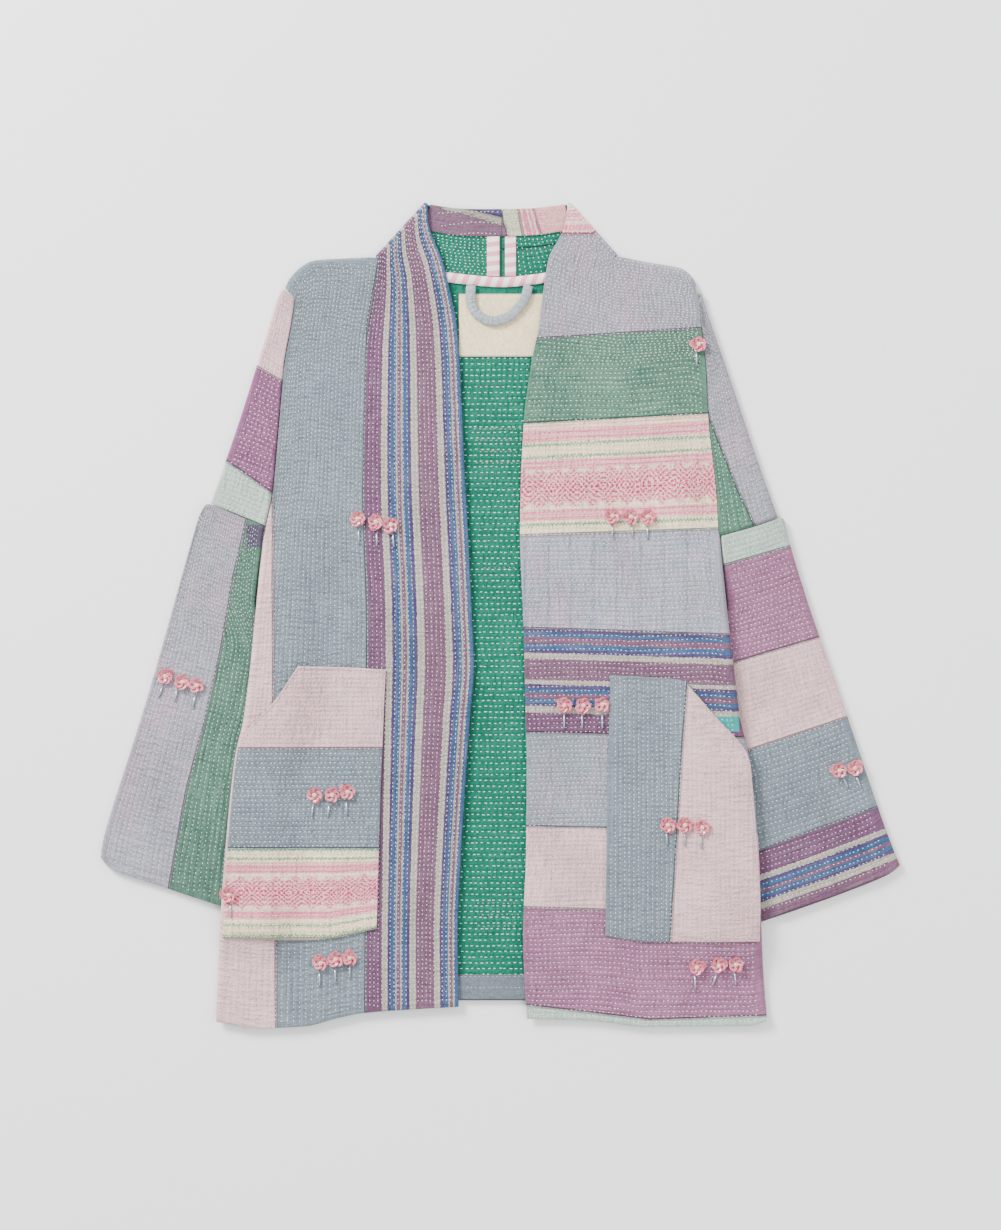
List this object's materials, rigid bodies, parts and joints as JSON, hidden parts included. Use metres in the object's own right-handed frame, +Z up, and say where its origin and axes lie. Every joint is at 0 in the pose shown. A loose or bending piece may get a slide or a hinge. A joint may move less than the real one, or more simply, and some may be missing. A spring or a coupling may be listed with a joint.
{
  "type": "quilted patchwork jacket laid flat",
  "caption": "Open-front quilted patchwork jacket with a stand collar, wide sleeves and slanted patch pockets, laid flat face up.",
  "frame": {"origin": "centre of the outline on the surface that the jacket lies on", "axes": "+X to the right of the picture, +Y towards the neck, +Z up from the surface"},
  "size_m": [0.7982, 0.8246, 0.0201],
  "materials": {
    "patch_cloth": "matte quilted cotton patches with running stitches",
    "inside_cloth": "matte green quilted cotton",
    "binding": "pink and white striped cotton tape",
    "loop": "soft grey-blue cloth tube",
    "label": "plain cream cloth, bare",
    "sequins": "pink cup sequins with pearly beads",
    "bugle_beads": "silver-lined glass tubes"
  },
  "bodies": {
    "root": {"back": "inside_cloth", "back_hem_facing": "patch_cloth", "front_left": "patch_cloth", "front_right": "patch_cloth", "collar_facing_left": "patch_cloth", "collar_facing_right": "patch_cloth", "sleeve_upper_left": "patch_cloth", "sleeve_upper_right": "patch_cloth", "sleeve_lower_left": "patch_cloth", "sleeve_lower_right": "patch_cloth", "pocket_left": "patch_cloth", "pocket_right": "patch_cloth", "seam_binding_left": "binding", "seam_binding_right": "binding", "neck_binding": "binding", "hanger_loop": "loop", "neck_label": "label"}
  },
  "joints": []
}
